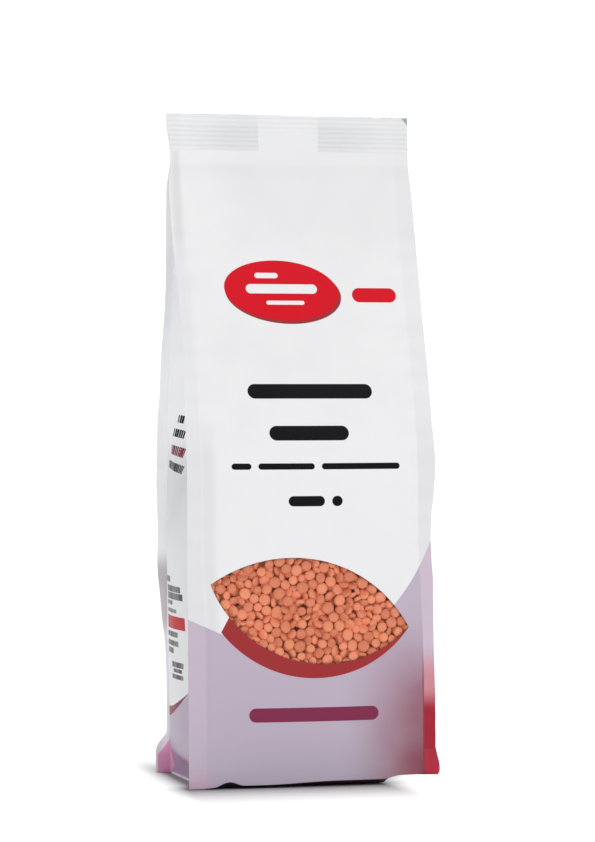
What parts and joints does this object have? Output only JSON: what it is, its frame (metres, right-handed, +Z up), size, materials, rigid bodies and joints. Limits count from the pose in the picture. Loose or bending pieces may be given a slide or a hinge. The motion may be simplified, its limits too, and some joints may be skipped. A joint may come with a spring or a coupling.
{
  "type": "bag of lentils",
  "caption": "Upright block-bottom pouch of red lentils with corner fin seals, folded side gussets, a crimped top seal and a lens-shaped window.",
  "frame": {"origin": "middle of the flat base, on the surface the bag stands on", "axes": "+Z up along the bag's height, -Y out of the front panel with the window, +X to the right seen from the front"},
  "size_m": [0.0969, 0.0637, 0.2502],
  "materials": {
    "film": "satin printed film",
    "lentil": "dry, slightly dusty seeds"
  },
  "bodies": {
    "root": {"pouch": "film", "lentils": "lentil"}
  },
  "joints": []
}
